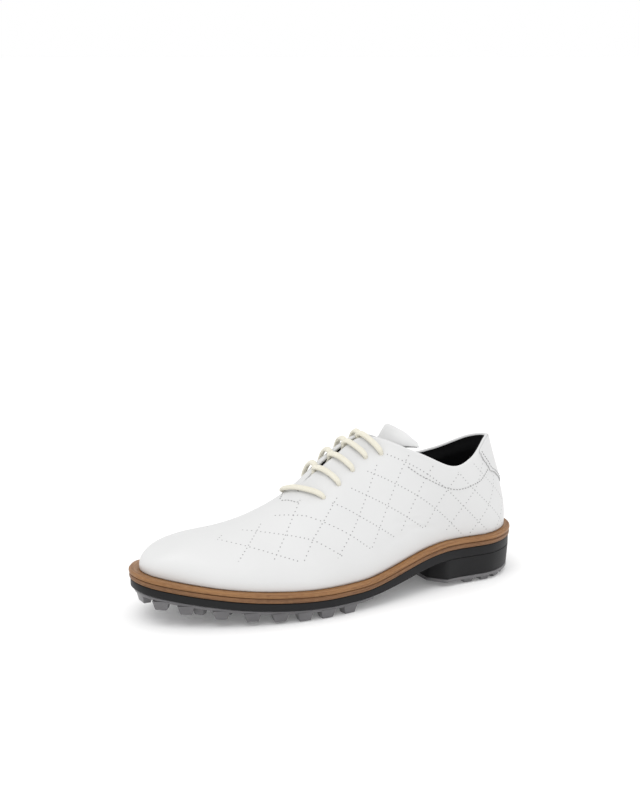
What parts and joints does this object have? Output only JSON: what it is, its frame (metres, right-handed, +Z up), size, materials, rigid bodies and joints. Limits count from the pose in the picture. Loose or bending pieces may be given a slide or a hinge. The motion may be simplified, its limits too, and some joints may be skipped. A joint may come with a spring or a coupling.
{
  "type": "golf shoe",
  "caption": "Low laced white leather golf shoe, left foot, with a stacked brown welt, black midsole and heel, and a lugged grey outsole.",
  "frame": {"origin": "on the floor under the middle of the sole outline", "axes": "+X towards the heel, -X towards the toe, +Y towards the medial side, +Z up"},
  "size_m": [0.305, 0.1058, 0.119],
  "materials": {
    "white_leather": "smooth full-grain, satin",
    "black_lining": "woven, matt",
    "foam": "open-cell foam",
    "leatherboard": "fibrous board, matt",
    "cork": "granular",
    "steel": "plain",
    "welt_tan": "stacked edge, waxed",
    "welt_brown": "stacked edge, waxed",
    "black_rubber": "satin",
    "grey_tpu": "translucent, smooth",
    "cream_lace": "braided cotton",
    "clear_tip": "clear film"
  },
  "bodies": {
    "shoe": {"outsole_forefoot": "grey_tpu", "outsole_heel": "grey_tpu", "heel_block": "black_rubber", "midsole": "black_rubber", "welt_lower": "welt_brown", "welt_upper": "welt_tan", "bottom_filler": "cork", "shank": "steel", "insole_board": "leatherboard", "footbed_foam": "foam", "footbed_cover": "black_lining", "upper": "white_leather", "heel_tab": "white_leather", "toe_puff": "leatherboard", "heel_counter": "leatherboard", "eyelet_stay_lateral": "leatherboard", "eyelet_stay_medial": "leatherboard", "collar_foam": "foam", "vamp_lining": "black_lining", "quarter_lining": "black_lining", "lace": "cream_lace", "aglet_lateral": "clear_tip", "aglet_medial": "clear_tip"},
    "tongue": {"tongue_base": "black_lining", "tongue_cap": "white_leather", "tongue_foam": "foam", "tongue_lining": "black_lining"}
  },
  "joints": [
    {"name": "tongue_fold", "type": "hinge", "parent": "shoe", "child": "tongue", "pos_m": [-0.038, 0.008, 0.057], "axis": [0, 1, 0], "range_deg": [0, 12]}
  ]
}
